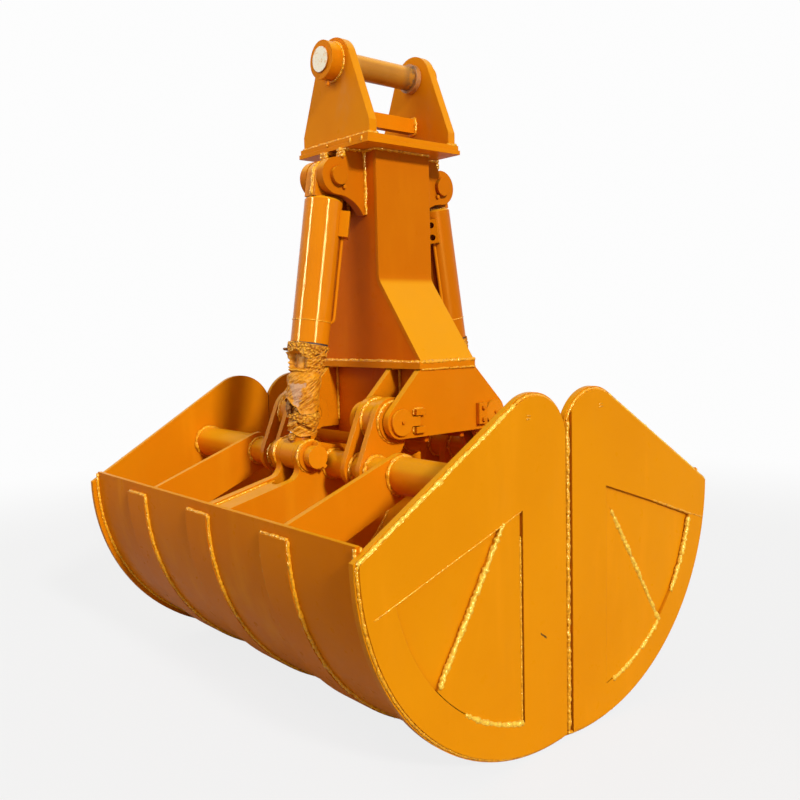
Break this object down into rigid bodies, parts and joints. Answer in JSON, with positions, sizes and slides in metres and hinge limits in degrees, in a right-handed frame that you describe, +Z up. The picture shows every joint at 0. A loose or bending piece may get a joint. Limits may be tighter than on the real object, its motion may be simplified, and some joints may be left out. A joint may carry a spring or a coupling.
{
  "type": "clamshell bucket",
  "caption": "Hydraulic clamshell bucket: curved shells hinged under a tapered mast and closed by upright cylinders, hung from a pin at the top.",
  "frame": {"origin": "on the ground under the middle of the closed bucket", "axes": "+X along the jaws and the hinge pins, +Y across the jaws and along the head pin, +Z up"},
  "size_m": [1.6, 1.53, 2.1629],
  "materials": {
    "paint": "gloss",
    "pin_paint": "gloss",
    "bare_pin": "satin",
    "worn_steel": "worn",
    "bolt_steel": "satin",
    "bronze": "satin",
    "rod_chrome": "polished",
    "wrap_cloth": "matt"
  },
  "bodies": {
    "frame": {"head_lugs": "paint", "head_pin_bosses": "paint", "head_pin_collar": "worn_steel", "head_pin": "bare_pin", "head_tie_bar": "paint", "head_base_plate": "paint", "mast_top_plate": "paint", "mast_side_plates": "paint", "mast_end_panels": "paint", "mast_base_plate": "paint", "frame_outer_plates": "paint", "frame_inner_plates": "paint", "frame_box_walls": "paint", "hinge_pins": "pin_paint", "hinge_pin_bosses": "paint", "pin_keepers": "paint", "locking_bolts": "bolt_steel", "grease_nipples": "bolt_steel", "cylinder_lugs": "paint", "top_pins": "pin_paint"},
    "shell_left": {"shell_skin_left": "paint", "end_plates_left": "paint", "end_doublers_left": "paint", "outer_ribs_left": "paint", "clevis_ribs_left": "paint", "clevis_bosses_left": "paint", "clevis_cover_left": "paint", "torque_tube_left": "paint", "hinge_arms_left": "paint", "hinge_hubs_left": "paint", "hinge_bushes_left": "bronze", "wear_straps_left": "paint", "cutting_edge_left": "worn_steel", "rod_pin_left": "pin_paint"},
    "piston_rod_left": {"piston_left": "worn_steel", "rod_left": "rod_chrome", "rod_wrap_left": "wrap_cloth"},
    "cylinder_left": {"barrel_left": "paint", "gland_left": "worn_steel", "oil_ports_left": "paint"},
    "shell_right": {"shell_skin_right": "paint", "end_plates_right": "paint", "end_doublers_right": "paint", "outer_ribs_right": "paint", "clevis_ribs_right": "paint", "clevis_bosses_right": "paint", "clevis_cover_right": "paint", "torque_tube_right": "paint", "hinge_arms_right": "paint", "hinge_hubs_right": "paint", "hinge_bushes_right": "bronze", "wear_straps_right": "paint", "cutting_edge_right": "worn_steel", "rod_pin_right": "pin_paint"},
    "piston_rod_right": {"piston_right": "worn_steel", "rod_right": "rod_chrome", "rod_wrap_right": "wrap_cloth"},
    "cylinder_right": {"barrel_right": "paint", "gland_right": "worn_steel", "oil_ports_right": "paint"}
  },
  "joints": [
    {"name": "shell_hinge_left", "type": "hinge", "parent": "frame", "child": "shell_left", "pos_m": [0, -0.2085, 0.92], "axis": [-1, 0, 0], "range_deg": [0, 45]},
    {"name": "rod_pivot_left", "type": "hinge", "parent": "shell_left", "child": "piston_rod_left", "pos_m": [0, -0.376, 0.809], "axis": [1, 0, 0], "range_deg": [0, 41]},
    {"name": "rod_stroke_left", "type": "slide", "parent": "piston_rod_left", "child": "cylinder_left", "axis": [0, -0.1598, -0.9872], "range_m": [0, 0.142], "deforming": ["rod_wrap_left"]},
    {"name": "shell_hinge_right", "type": "hinge", "parent": "frame", "child": "shell_right", "pos_m": [0, 0.2085, 0.92], "axis": [1, 0, 0], "range_deg": [0, 45]},
    {"name": "rod_pivot_right", "type": "hinge", "parent": "shell_right", "child": "piston_rod_right", "pos_m": [0, 0.376, 0.809], "axis": [-1, 0, 0], "range_deg": [0, 41]},
    {"name": "rod_stroke_right", "type": "slide", "parent": "piston_rod_right", "child": "cylinder_right", "axis": [0, 0.1598, -0.9872], "range_m": [0, 0.142], "deforming": ["rod_wrap_right"]}
  ],
  "couplings": [
    {"joint": "rod_pivot_left", "follows": "shell_hinge_left", "ratio": 0.8989},
    {"joint": "rod_stroke_left", "follows": "shell_hinge_left", "m_per_rad": 0.17686},
    {"joint": "rod_pivot_right", "follows": "shell_hinge_right", "ratio": 0.8989},
    {"joint": "rod_stroke_right", "follows": "shell_hinge_right", "m_per_rad": 0.17686}
  ]
}
